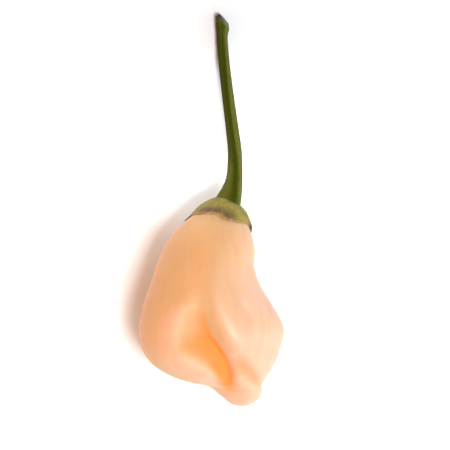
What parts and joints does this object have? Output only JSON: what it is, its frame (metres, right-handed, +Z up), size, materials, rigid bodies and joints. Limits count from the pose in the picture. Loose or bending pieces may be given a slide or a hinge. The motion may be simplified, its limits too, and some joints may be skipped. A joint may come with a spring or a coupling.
{
  "type": "chilli pepper",
  "caption": "Lantern-shaped fresh chilli pepper with a folded, lobed pod, a toothed calyx and a long curved stem, lying on its side.",
  "frame": {"origin": "middle of the small flat spot under the pod, on the surface that the pepper lies on", "axes": "+Y from the pod's blossom end to the stem's free end, +Z up, +X to the right when seen from above with the stem up the page"},
  "size_m": [0.0334, 0.0906, 0.027],
  "materials": {
    "pod_skin": "satin",
    "calyx_tissue": "matte",
    "stem_tissue": "satin"
  },
  "bodies": {
    "root": {"pod": "pod_skin", "calyx": "calyx_tissue", "stem": "stem_tissue"}
  },
  "joints": []
}
